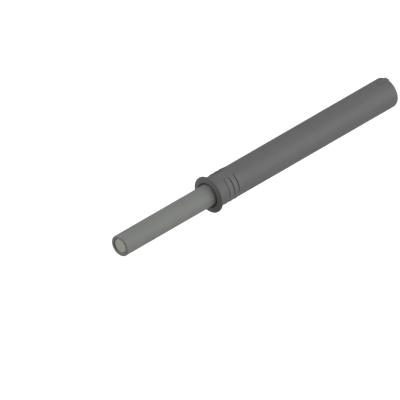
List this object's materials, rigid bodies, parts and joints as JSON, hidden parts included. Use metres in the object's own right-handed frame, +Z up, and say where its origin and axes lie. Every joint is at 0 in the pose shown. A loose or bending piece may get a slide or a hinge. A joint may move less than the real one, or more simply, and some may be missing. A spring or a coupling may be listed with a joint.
{
  "type": "touch latch",
  "caption": "Push-to-open touch latch for a cabinet door: a thin barrel with a collar and gripping barbs, and a sprung ejector pin with a magnet in its tip.",
  "frame": {"origin": "on the latch's axis, in the plane of the collar's back, which seats on the cabinet's front edge", "axes": "+Y runs along the barrel into its bored hole, -Y points out of the cabinet along the ejector pin, +Z is up with one of the end cap's key lugs on top"},
  "size_m": [0.012, 0.1141, 0.0118],
  "materials": {
    "barrel_plastic": "fine-grained moulded plastic, dark grey",
    "pin_plastic": "smooth moulded plastic, mid grey",
    "magnet_nickel": "nickel-plated magnet, satin",
    "spring_steel": "drawn spring wire",
    "rod_steel": "ground steel",
    "ring_plastic": "natural acetal"
  },
  "bodies": {
    "barrel": {"housing": "barrel_plastic", "end_cap": "barrel_plastic", "guide_rod": "rod_steel", "compression_spring": "spring_steel"},
    "ejector": {"plunger": "pin_plastic", "magnet": "magnet_nickel"},
    "follower": {"follower_ring": "ring_plastic", "follower_pin_1": "rod_steel", "follower_pin_2": "rod_steel", "follower_pin_3": "rod_steel"}
  },
  "joints": [
    {"name": "plunger_slide", "type": "slide", "parent": "barrel", "child": "ejector", "axis": [0, 1, 0], "range_m": [0, 0.037], "stiffness_N_per_m": 250, "springref_m": -0.012, "deforming": ["compression_spring"]},
    {"name": "follower_turn", "type": "hinge", "parent": "barrel", "child": "follower", "pos_m": [0, 0.06305, 0], "axis": [0, 1, 0], "continuous": true}
  ]
}
